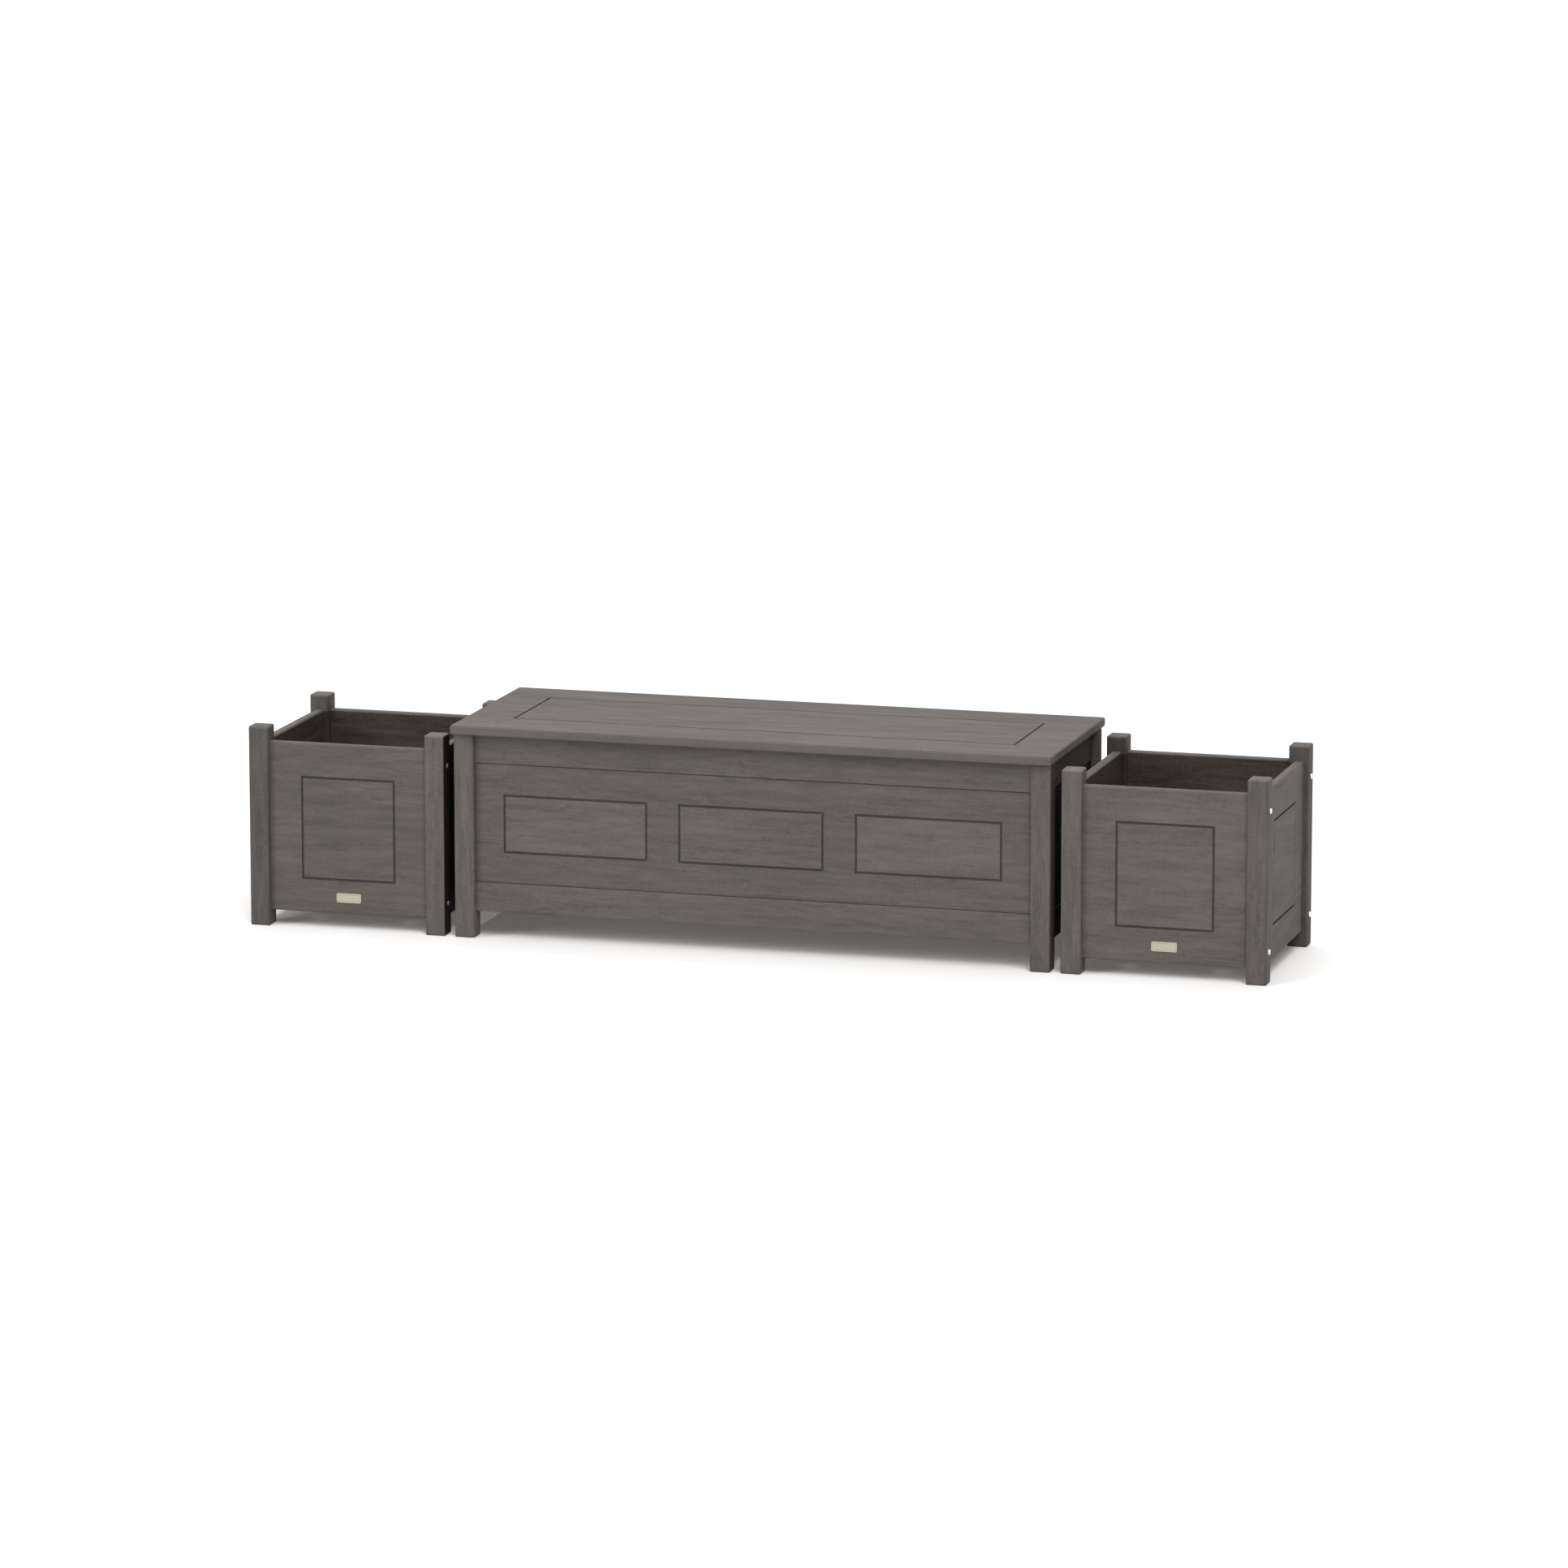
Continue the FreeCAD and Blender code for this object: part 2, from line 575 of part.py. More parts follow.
def name_plate():
    """A bare plate with round corners, in the middle of the front panel's foot."""
    face = -POST_XY - BOX_PANEL_THICK / 2
    rise = about(PLATE_LIFT, PLATE_HEIGHT)
    plate = box(about(0, PLATE_LENGTH), (face - PLATE_THICK, face), rise)
    return plate.makeFillet(PLATE_CORNER, along(plate, "y"))


def connector_bolt():
    """A bolt along X with a domed, socketed head, seated at the origin."""
    length = POST_SIZE + BOLT_REACH
    head = rod("x", (0, 0, 0), BOLT_HEAD_RADIUS, BOLT_HEAD_HEIGHT)
    crown = [edge for edge in head.Edges if edge.BoundBox.XMin > BOLT_HEAD_HEIGHT / 2]
    bolt = head.makeFillet(BOLT_HEAD_ROUND, crown)
    bolt = bolt.fuse(rod("x", (-length, 0, 0), BOLT_RADIUS, length))
    low = BOLT_HEAD_HEIGHT - BOLT_SOCKET_DEPTH
    return bolt.cut(rod("x", (low, 0, 0), BOLT_SOCKET_RADIUS, BOLT_SOCKET_DEPTH + OVERSHOOT))


def barrel_nut():
    """A threaded sleeve along X, its outer end at the origin."""
    nut = rod("x", (-NUT_LENGTH, 0, 0), NUT_RADIUS, NUT_LENGTH)
    return nut.cut(rod("x", (-NUT_LENGTH, 0, 0), BOLT_RADIUS + THREAD_PLAY, NUT_LENGTH))


def planter_fasteners(piece, x):
    """The piece at each bolt of both planters, x out from the planter's middle."""
    group = []
    for planter in (-1, 1):
        for side in (-1, 1):
            for end in (-1, 1):
                for level in BOLT_LEVELS:
                    copy = placed(piece, 0 if side > 0 else 180, 0, 0)
                    where = (planter * PLANTER_X + side * x, PLANTER_Y + end * POST_XY, level)
                    copy.translate(Vector(*where))
                    group.append(copy)
    return Part.makeCompound(group)


def write_chest():
    """Write the legs, rails, panels and floor of the chest."""
    leg = chest_leg()
    back = mirrored(leg, "y")
    save("chest_leg_front_left", leg)
    save("chest_leg_front_right", mirrored(leg, "x"))
    save("chest_leg_back_left", back)
    save("chest_leg_back_right", mirrored(back, "x"))
    walls = {
        "front": (FRONT_SPAN, 0, 0, -LEG_Y, CHEST_FIELDS),
        "back": (FRONT_SPAN, 180, 0, LEG_Y, 0),
        "left": (SIDE_SPAN, -90, -LEG_X, 0, 0),
        "right": (SIDE_SPAN, 90, LEG_X, 0, 0),
    }
    for side, (span, turn, x, y, fields) in walls.items():
        top = rail(span, TOP_RAIL_LOW, False)
        top = hinge_rail() if side == "back" else placed(top, turn, x, y)
        save("chest_rail_" + side + "_top", top)
        save("chest_rail_" + side + "_bottom", placed(rail(span, RAIL_LIFT, True), turn, x, y))
        save("chest_panel_" + side, placed(framed_panel(span, fields), turn, x, y))
    save("chest_floor_cleat_front", chest_cleat())
    save("chest_floor_cleat_back", mirrored(chest_cleat(), "y"))
    save("chest_floor_slats", chest_slats())


def write_lid():
    """Write the lid with its battens, hinges and stays."""
    save("lid_board", lid_board())
    pieces = {
        "lid_batten": lid_batten(),
        "lid_stay_arm": stay_arm(),
        "lid_stay_bracket": stay_bracket(),
        "lid_stay_stud": stay_stud(),
        "hinge_leaf_fixed": hinge_leaf(HINGE_X, -1),
        "hinge_leaf_lid": hinge_leaf(HINGE_X, 1),
        "hinge_pin": hinge_pin(HINGE_X),
    }
    for name, piece in pieces.items():
        save(name + "_right", piece)
        save(name + "_left", mirrored(piece, "x"))


def write_planters():
    """Write both planter boxes and the fasteners that they share."""
    post = planter_post()
    pieces = {
        "post_front_right": post,
        "post_front_left": mirrored(post, "x"),
        "post_back_right": mirrored(post, "y"),
        "post_back_left": mirrored(mirrored(post, "y"), "x"),
        "panel_front": placed(end_panel(), 0, 0, -POST_XY),
        "panel_back": placed(end_panel(), 180, 0, POST_XY),
        "panel_left": placed(side_panel(), -90, -POST_XY, 0),
        "panel_right": placed(side_panel(), 90, POST_XY, 0),
        "floor_cleat_front": box_cleat(),
        "floor_cleat_back": mirrored(box_cleat(), "y"),
        "floor": box_floor(),
        "name_plate": name_plate(),
    }
    for planter, side in (("left_planter_", -1), ("right_planter_", 1)):
        for name, piece in pieces.items():
            save(planter + name, placed(piece, 0, side * PLANTER_X, PLANTER_Y))
    save("planter_bolts", planter_fasteners(connector_bolt(), PLANTER_SIZE / 2))
    save("planter_barrel_nuts", planter_fasteners(barrel_nut(), BOX_SPAN / 2 - NUT_SETBACK))


write_chest()
write_lid()
write_planters()
print("hinge axis", AXIS_Y, AXIS_Z)
print("stay pivot", PIVOT_Y, PIVOT_Z, "stud", round(STUD_Y, 3), STUD_Z)
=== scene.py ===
import math
from collections import namedtuple

import bmesh
import bpy
from mathutils import Matrix, Vector


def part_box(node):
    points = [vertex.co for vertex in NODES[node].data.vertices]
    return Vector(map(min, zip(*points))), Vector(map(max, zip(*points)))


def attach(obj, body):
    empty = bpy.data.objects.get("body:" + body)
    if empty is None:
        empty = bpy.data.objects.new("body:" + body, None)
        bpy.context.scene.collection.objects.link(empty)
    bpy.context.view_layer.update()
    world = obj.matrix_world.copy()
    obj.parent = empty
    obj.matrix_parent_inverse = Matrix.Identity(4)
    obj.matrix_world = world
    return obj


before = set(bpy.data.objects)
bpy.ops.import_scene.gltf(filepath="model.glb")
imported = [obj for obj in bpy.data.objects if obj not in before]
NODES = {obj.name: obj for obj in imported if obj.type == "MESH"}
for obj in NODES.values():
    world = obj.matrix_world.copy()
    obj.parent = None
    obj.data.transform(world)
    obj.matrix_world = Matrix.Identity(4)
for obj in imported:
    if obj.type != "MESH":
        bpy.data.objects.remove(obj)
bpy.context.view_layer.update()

MM = 0.001
WHITE = (1.0, 1.0, 1.0)
UP, DOWN = (0.0, 0.0, 1.0), (0.0, 0.0, -1.0)
SIDES = {"left": -1, "right": 1}

# What describes a layer of the grain, the skin of a face, a routed field by its limits on the two
# axes of its face, a fine joint and a metal
Layer = namedtuple("Layer", "along across detail rough share", defaults=(0.0,))
Skin = namedtuple("Skin", "axis low high")
Field = namedtuple("Field", "low_a high_a low_b high_b gain", defaults=(0.0,))
Seam = namedtuple("Seam", "height reach dark")
Metal = namedtuple("Metal", "colour rough brushed gap_dark", defaults=(0.0,))

# Camera: the picture's size and the focal length in pixels, the turn to the left and the tilt
# down in radians, the place in metres, the sensor's width in millimetres, and the nearest and
# furthest metres that it sees
IMAGE = 1932
FOCAL_PIXELS = 9697.52
YAW = 0.27955381
PITCH = 0.19150898
CAMERA_AT = Vector((4.139141, -14.379047, 3.197319))
SENSOR = 36.0
CLIP = (0.1, 500.0)

# Lamps: turn from the front, height above the floor, strength, width of the disc, angles in degrees
LAMPS = {
    "right_high": (26, 52, 1.12, 28),
    "right": (38, 36, 0.60, 30),
    "left": (-42, 26, 0.68, 30),
    "left_low": (-48, 16, 0.44, 24),
    "back": (-160, 60, 0.80, 32),
    "overhead": (0, 90, 1.20, 46),
}

# Floor: its tone for the light that it throws back and as it is seen, its painted glow as it is
# seen, which lifts and warms its shadows, its roughness, half its width in metres and the cells along a
# side
FLOOR_TONE = 0.9
FLOOR_SEEN = 1.0
FLOOR_PAINTED_GLOW = (0.107, 0.101, 0.095)
FLOOR_ROUGH = 0.9
FLOOR_REACH = 60.0
FLOOR_CELLS = 4

# Timber: its stain, and each layer of its grain as steps per metre along and across the grain,
# detail, roughness of the detail and the share by which it shifts the tone
STAIN = (0.117, 0.104, 0.095)
BANDS = Layer(8.0, 62.0, 6.0, 0.72, 0.48)
CLOUDS = Layer(3.0, 9.0, 2.0, 0.5, 0.16)
FIBRES = Layer(40.0, 480.0, 2.0, 0.6, 0.21)
TICKS = Layer(330.0, 90.0, 1.0, 0.5, 0.12)
STREAKS = Layer(6.0, 150.0, 3.0, 0.5, 0.15)
FLECKS = Layer(60.0, 420.0, 2.0, 0.5, 0.20)

# Streaks and flecks come in patches: the patches' own noise, and the noise where each begins
# and is full
PATCHES = Layer(4.0, 22.0, 2.0, 0.5)
PATCH_RANGE = (0.50, 0.62)
STREAK_RANGE = (0.52, 0.68)

# The noise of one piece is moved against that of the next, by shares of its seed on each axis,
# and the noise of a routed field is moved once more
SEED_START = 1.7
SEED_STEP = 2.31
SEED_SHARES = (1.0, 0.37, 0.61)
FIELD_SHIFT = 3.7

# Surface of the timber: the range of its noise, the roughness at the ends of that range, its
# gloss, its gloss where painted shade lies, how deep flecks and streaks lie against the fibres,
# and the reach and strength of the bumps
NOISE_RANGE = (0.3, 0.7)
WOOD_ROUGH = (0.66, 0.80)
WOOD_GLOSS = 0.25
DULL_GLOSS = 0.08
FLECK_SINK = 0.6
STREAK_SINK = 0.4
WOOD_BUMP = (0.3 * MM, 0.5)

# How strongly the grain shows
PANEL_DEPTH, POST_DEPTH, SEAT_DEPTH, INSIDE_DEPTH = 1.1, 1.3, 1.6, 1.9

# Routed lines: their width, the shares of it between which they fade, and the painted shade in
# them along the grain and across it, where a negative value is painted light
LINE_WIDTH = 4.5 * MM
LINE_FADE = (0.45, 0.60)
LINE_PAINTED_SHADE = {"front": (0.28, 0.28), "side": (0.45, -0.50), "seat": (-0.35, 0.0)}

# Routed fields: their distances from legs, rails and edges, or their width and height, and the
# added tone of the three on the chest's front
CHEST_FIELD_SIDE = 59.5 * MM
CHEST_FIELD_GAP = 66.5 * MM
CHEST_FIELD_EDGE = 62.0 * MM
CHEST_FIELD_GAINS = (0.17, 0.09, 0.13)
BOX_FIELD_WIDTH = 188.0 * MM
BOX_FIELD_HEIGHT = 200.0 * MM
LID_FIELD_END = 97.5 * MM
LID_FIELD_FRONT = 106.0 * MM
LID_FIELD_BACK = 99.0 * MM

# A pattern is kept to the skin of its face, this far in and out
SKIN_REACH = 4.0 * MM

# Fine joints outside the fields, with painted shade along them: height above the floor, reach
# and darkness of each, and the shares of the reach between which the painted shade fades
CHEST_SEAMS = (Seam(110.5 * MM, 3.0 * MM, 0.16), Seam(344.0 * MM, 3.0 * MM, 0.10))
BOX_SEAMS = (Seam(107.0 * MM, 0.8 * MM, 0.10), Seam(275.0 * MM, 0.8 * MM, 0.10))
SEAM_FADE = (0.5, 1.5)

# Faces in the two narrow gaps and the insides of the planter boxes get painted shade: the tints
# of that painted shade, the skin of a face in a gap, how far from the middle a bolt counts as in a
# gap, and how far past its floor board the inside of a box reaches
RAIL_GAP_SHADE = (0.63, 0.55, 0.51)
GAP_SHADE = (0.10, 0.08, 0.08)
LEFT_GAP_SHADE = (0.13, 0.10, 0.09)
GAP_SKIN = 1.0 * MM
GAP_REACH = 625.0 * MM
INSIDE_SHADE = (0.62, 0.54, 0.49)
INSIDE_REACH = 2.5 * MM

# Painted highlight on the end grain on top of a post, and a darker tone at the ends of the seat
POST_TOP_HIGHLIGHT = 1.35
SEAT_END_TONE = 0.92
SEAT_END_REACH = 1.0 * MM

# The seat: its painted sheen as tones at the front and at the back, and the reach, tone and grain of
# its front edge
SEAT_PAINTED_SHEEN = (1.10, 0.945)
SEAT_FRONT_REACH = 3.0 * MM
SEAT_FRONT_TONE = 0.93
SEAT_FRONT_DEPTH = 0.5

# Tone of single pieces, against one for all others; the lower tones of the back posts of the planter
# boxes are painted shade
TONES = {
    "left_planter_post_back_left": 0.82,
    "left_planter_post_back_right": 0.82,
    "right_planter_post_back_left": 0.76,
    "right_planter_post_back_right": 0.70,
    "left_planter_post_front_left": 0.78,
    "left_planter_post_front_right": 0.97,
    "left_planter_panel_front": 0.92,
    "right_planter_panel_front": 0.98,
    "right_planter_post_front_right": 0.85,
    "chest_leg_front_left": 1.03,
    "chest_leg_front_right": 0.97,
    "chest_panel_front": 0.92,
    "chest_rail_front_top": 0.96,
}

# Metals: colour, roughness, brush marks per metre on each axis, and how much painted shade darkens them
# in the gaps
BRIGHT = (0.86, 0.86, 0.85)
SATIN = (0.62, 0.62, 0.61)
BOLT_METAL = Metal(BRIGHT, 0.22, (200.0, 200.0, 200.0), 0.75)
HINGE_METAL = Metal(SATIN, 0.34, (40.0, 500.0, 500.0))
SCREW_METAL = Metal(SATIN, 0.30, (500.0, 500.0, 500.0))

# Brush marks: detail and roughness of their noise, their tones, what they add to the roughness
# of the metal, and the reach and strength of their bumps
MARK_NOISE = (3.0, 0.6)
MARK_TONES = (0.93, 1.05)
MARK_ROUGH = (-0.06, 0.08)
MARK_BUMP = (0.05 * MM, 0.4)

# Specks: how many per metre on each axis, detail and roughness of their noise, the noise where
# they begin and are full, and how dark they are
SPECKS = (240.0, 240.0, 240.0)
SPECK_NOISE = (2.0, 0.5)
SPECK_RANGE = (0.6, 0.8)
SPECK_DARK = 0.12

# Name plates: colour, brush marks per metre on each axis, tones, roughness, how high the marks
# rise against the depth of the line, reach and strength of the bumps, and the fine line by its
# distance from the edge, the distances from its middle between which it fades, and its darkness
PLATE = (0.49, 0.465, 0.345)
PLATE_MARKS = (60.0, 900.0, 900.0)
PLATE_TONES = (0.96, 1.04)
PLATE_ROUGH = (0.38, 0.50)
PLATE_MARK_RISE = 0.3
PLATE_BUMP = (0.1 * MM, 0.6)
PLATE_LINE_INSET = 2.7 * MM
PLATE_LINE_FADE = (0.2 * MM, 0.6 * MM)
PLATE_LINE_DARK = 0.30

# Screw heads: shares of the radius and of the height at each ring, and the cross recess with
# its reach, its half width and its size at the floor as shares, and the height of its floor
HEAD_PROFILE = ((1.0, 0.0), (1.0, 0.35), (0.86, 0.8), (0.7, 1.0))
HEAD_SIDES = 20
CROSS_REACH = 0.62
CROSS_WIDTH = 0.17
CROSS_FLOOR = 0.8
CROSS_LEVEL = 0.1

# Screws: radius and height of their heads
HINGE_HEAD = (3.0 * MM, 0.9 * MM)
FOOT_HEAD = (3.2 * MM, 1.3 * MM)
STUD_HEAD = (3.2 * MM, 1.2 * MM)
BATTEN_HEAD = (3.6 * MM, 1.6 * MM)
FLOOR_HEAD = (3.2 * MM, 1.3 * MM)

# Places of the screws, measured from the pieces that they hold
HINGE_SCREWS = 3
HINGE_SCREW_IN = 11.0 * MM
LEAF_SINK = 1.4 * MM
FOOT_SCREW_STEP = 12.8 * MM
FOOT_SCREW_IN = 2.0 * MM
FOOT_THICK = 2.0 * MM
STUD_SCREW_STEP = 12.0 * MM
STUD_PLATE_THICK = 2.0 * MM
BATTEN_SCREW_STEP = 130.0 * MM
SLATS = 10
SLAT_WIDTH = 92.0 * MM
FLOOR_SCREW_STEP = 140.0 * MM
FLOOR_SCREW_IN = 8.0 * MM


def camera():
    """The camera of the photograph."""
    data = bpy.data.cameras.new("camera")
    cam = bpy.data.objects.new("camera", data)
    bpy.context.scene.collection.objects.link(cam)
    data.sensor_fit = "HORIZONTAL"
    data.sensor_width = SENSOR
    data.lens = FOCAL_PIXELS / IMAGE * SENSOR
    data.clip_start, data.clip_end = CLIP
    ahead = Vector((
        -math.sin(YAW) * math.cos(PITCH),
        math.cos(YAW) * math.cos(PITCH),
        -math.sin(PITCH),
    ))
    cam.location = CAMERA_AT
    cam.rotation_mode = "QUATERNION"
    cam.rotation_quaternion = ahead.to_track_quat("-Z", "Y")
    bpy.context.scene.camera = cam


class Graph:
    """Shader nodes of one material or world, with short ways to add and join them."""

    def __init__(self, tree):
        self.tree = tree

    def node(self, kind, inputs, **settings):
        """A new shader node with its settings, its inputs fed by values or by other nodes."""
        node = self.tree.nodes.new("ShaderNode" + kind)
        for key, value in settings.items():
            setattr(node, key, value)
        for key, value in inputs.items():
            if isinstance(value, bpy.types.NodeSocket):
                self.tree.links.new(value, node.inputs[key])
            else:
                node.inputs[key].default_value = value
        return node

    def math(self, operation, a, b=0.0):
        """One step of arithmetic."""
        return self.node("Math", {0: a, 1: b}, operation=operation).outputs[0]

    def total(self, *values):
        """The sum of some values."""
        result = values[0]
        for value in values[1:]:
            result = self.math("ADD", result, value)
        return result

    def product(self, *values):
        """Some values multiplied by one another."""
        result = values[0]
        for value in values[1:]:
            result = self.math("MULTIPLY", result, value)
        return result

    def lighter(self, *shares):
        """One plus the product of some shares."""
        return self.math("ADD", 1.0, self.product(*shares))

    def darker(self, *shares):
        """One less the product of some shares."""
        return self.math("SUBTRACT", 1.0, self.product(*shares))

    def ramp(self, value, low, high, to_low=0.0, to_high=1.0):
        """A value between two limits, moved smoothly to two others."""
        inputs = {
            "Value": value,
            "From Min": low,
            "From Max": high,
            "To Min": to_low,
            "To Max": to_high,
        }
        return self.node("MapRange", inputs, interpolation_type="SMOOTHSTEP").outputs["Result"]

    def within(self, value, low, high):
        """One between two limits, nothing outside them."""
        above = self.math("GREATER_THAN", value, low)
        return self.product(above, self.math("LESS_THAN", value, high))

    def apart(self, value, place):
        """How far a value lies from a place, on either side."""
        return self.math("ABSOLUTE", self.math("SUBTRACT", value, place))

    def edge_distance(self, first, second, field):
        """How far a point lies outside a rectangle, negative inside it."""
        spans = ((first, field.low_a, field.high_a), (second, field.low_b, field.high_b))
        sides = []
        for value, low, high in spans:
            off_middle = self.apart(value, (low + high) / 2)
            sides.append(self.math("SUBTRACT", off_middle, (high - low) / 2))
        return self.math("MAXIMUM", *sides)

    def place(self):
        """The part's own metres, as one vector and as three values."""
        vector = self.tree.nodes.new("ShaderNodeTexCoord").outputs["Object"]
        split = self.node("SeparateXYZ", {0: vector})
        return vector, dict(zip("xyz", split.outputs))

    def noise(self, vector, scale, detail, rough):
        """Noise stretched by a scale for each axis."""
        spread = self.node("VectorMath", {0: vector, 1: scale}, operation="MULTIPLY").outputs[0]
        inputs = {"Vector": spread, "Scale": 1.0, "Detail": detail, "Roughness": rough}
        return self.node("TexNoise", inputs).outputs[0]

    def tint(self, colour, factor):
        """A colour made lighter or darker by a value."""
        return self.node("VectorMath", {0: colour, "Scale": factor}, operation="SCALE").outputs[0]

    def blend(self, share, colour, tint):
        """A colour multiplied by a tint, by a share from nothing to one."""
        settings = {"data_type": "RGBA", "blend_type": "MULTIPLY"}
        inputs = {0: share, 6: colour, 7: (*tint, 1.0)}
        return self.node("Mix", inputs, **settings).outputs[2]

    def seen(self):
        """One for what the camera, a reflection or clear material sees."""
        path = self.tree.nodes.new("ShaderNodeLightPath").outputs
        glossy = self.math("MAXIMUM", path["Is Glossy Ray"], path["Is Transmission Ray"])
        return self.math("MAXIMUM", path["Is Camera Ray"], glossy)


class Surface(Graph):
    """The shader nodes of a new material."""

    def __init__(self, name):
        self.material = bpy.data.materials.new(name)
        self.material.use_nodes = True
        super().__init__(self.material.node_tree)
        self.shader = self.tree.nodes["Principled BSDF"]

    def link(self, value, name):
        """Feed an input of the shader from another node."""
        self.tree.links.new(value, self.shader.inputs[name])

    def fix(self, value, name):
        """Give an input of the shader one value all over."""
        self.shader.inputs[name].default_value = value

    def bump(self, height, distance, strength):
        """Fine relief from a height, with its reach in metres and its strength."""
        inputs = {"Height": height, "Distance": distance, "Strength": strength}
        self.link(self.node("Bump", inputs).outputs[0], "Normal")


class Timber(Surface):
    """Stained timber with its grain along one axis, and a tone and a depth of grain of its own.

    Each method adds to the tones that the stain is multiplied by, to the painted shade laid over it,
    or to the depth of the grain, and finish joins them to the shader."""

    def __init__(self, name, grain, seed, tone, depth):
        super().__init__(name)
        self.vector, self.axes = self.place()
        self.grain = grain
        self.shift = seed
        self.tones = [tone]
        self.depth = depth
        self.painted_shades = []

    def face(self, skin, fields, dark, seams=()):
        """Fields inside routed lines on one face, and fine joints outside them, both with painted
        shade.
        """
        on_face = self.within(self.axes[skin.axis], skin.low, skin.high)
        first, second = (self.axes[axis] for axis in "xyz" if axis != skin.axis)
        outside = on_face
        for number, field in enumerate(fields, 1):
            distance = self.edge_distance(first, second, field)
            within = self.product(on_face, self.math("LESS_THAN", distance, 0.0))
            outside = self.math("SUBTRACT", outside, within)
            self.shift = self.math("ADD", self.shift, self.product(within, FIELD_SHIFT * number))
            self.tones.append(self.lighter(within, field.gain))
            self.routed_line(on_face, first, distance, field, dark)
        # Painted shade along each fine joint
        for seam in seams:
            start, end = (share * seam.reach for share in SEAM_FADE)
            fade = self.ramp(self.apart(self.axes["z"], seam.height), start, end, seam.dark, 0.0)
            self.tones.append(self.darker(outside, fade))

    def routed_line(self, on_face, first, distance, field, dark):
        """The line round a field, with one share of painted shade along the grain and one across it."""
        start, end = (share * LINE_WIDTH for share in LINE_FADE)
        off_line = self.math("ABSOLUTE", distance)
        line = self.product(on_face, self.ramp(off_line, start, end, 1.0, 0.0))
        between = self.within(first, field.low_a + end, field.high_a - end)
        along, across = dark
        self.tones.append(self.darker(line, self.ramp(between, 0.0, 1.0, across, along)))

    def seat(self, front):
        """Painted sheen, lighter at the front than at the back, with a plainer edge in front of a place
        on Y.
        """
        self.tones.append(self.ramp(self.axes["y"], front, -front, *SEAT_PAINTED_SHEEN))
        edge = self.math("LESS_THAN", self.axes["y"], front)
        self.tones.append(self.lighter(edge, SEAT_FRONT_TONE - 1.0))
        self.depth = self.ramp(edge, 0.0, 1.0, self.depth, SEAT_FRONT_DEPTH)

    def end_highlight_and_tone(self, axis, distance, tone):
        """A tone of its own further from the middle than a distance on one axis."""
        beyond = self.math("GREATER_THAN", self.math("ABSOLUTE", self.axes[axis]), distance)
        self.tones.append(self.lighter(beyond, tone - 1.0))

    def gap(self, distance, tint):
        """Painted shade for the face that lies in a narrow gap, at a distance from the middle."""
        off_middle = self.math("ABSOLUTE", self.axes["x"])
        near = self.within(off_middle, distance - GAP_SKIN, distance + GAP_SKIN)
        self.painted_shades.append((near, tint))

    def inside(self, low, high):
        """Painted shade, darker and warmer, and deeper grain between two corners."""
        spans = zip(self.axes.values(), low, high)
        share = self.product(*(self.within(*span) for span in spans))
        self.depth = self.ramp(share, 0.0, 1.0, self.depth, INSIDE_DEPTH)
        self.painted_shades.append((share, INSIDE_SHADE))

    def layer(self, vector, kind):
        """One layer of the grain, as noise about a half."""
        scale = tuple(kind.along if axis == self.grain else kind.across for axis in "xyz")
        return self.noise(vector, scale, kind.detail, kind.rough)

    def sway(self, noise, kind):
        """Noise about a half as a layer's share of tone above and below nothing."""
        return self.product(self.math("SUBTRACT", noise, 0.5), 2.0 * kind.share)

    def lay_grain(self):
        """Add the grain's tones, and give its fibres, streaks and flecks."""
        shifts = {axis: self.product(self.shift, share) for axis, share in enumerate(SEED_SHARES)}
        offset = self.node("CombineXYZ", shifts).outputs[0]
        moved = self.node("VectorMath", {0: self.vector, 1: offset}, operation="ADD").outputs[0]
        fibres = self.layer(moved, FIBRES)
        sway = self.total(
            self.sway(self.layer(moved, BANDS), BANDS),
            self.sway(self.layer(moved, CLOUDS), CLOUDS),
            self.sway(fibres, FIBRES),
            self.sway(self.layer(moved, TICKS), TICKS),
        )
        patches = self.ramp(self.layer(moved, PATCHES), *PATCH_RANGE)
        streaks = self.product(patches, self.ramp(self.layer(moved, STREAKS), *STREAK_RANGE))
        flecks = self.product(patches, self.ramp(self.layer(moved, FLECKS), *STREAK_RANGE))
        self.tones.append(self.lighter(sway, self.depth))
        self.tones.append(self.darker(streaks, STREAKS.share))
        self.tones.append(self.darker(flecks, FLECKS.share))
        return fibres, streaks, flecks

    def finish(self):
        """Join the stain with its tones and painted shade, the gloss and the pores to the shader."""
        fibres, streaks, flecks = self.lay_grain()
        colour = self.tint(STAIN, self.product(*self.tones))
        # Painted shade in the narrow gaps and inside the boxes, with less gloss there
        dull = 0.0
        for share, tint in self.painted_shades:
            colour = self.blend(share, colour, tint)
            dull = self.math("MAXIMUM", dull, share)
        self.link(colour, "Base Color")
        if self.painted_shades:
            self.link(self.ramp(dull, 0.0, 1.0, WOOD_GLOSS, DULL_GLOSS), "Specular IOR Level")
        else:
            self.fix(WOOD_GLOSS, "Specular IOR Level")
        self.link(self.ramp(fibres, *NOISE_RANGE, *WOOD_ROUGH), "Roughness")
        pores = self.total(
            fibres,
            self.product(flecks, -FLECK_SINK),
            self.product(streaks, -STREAK_SINK),
        )
        self.bump(pores, *WOOD_BUMP)


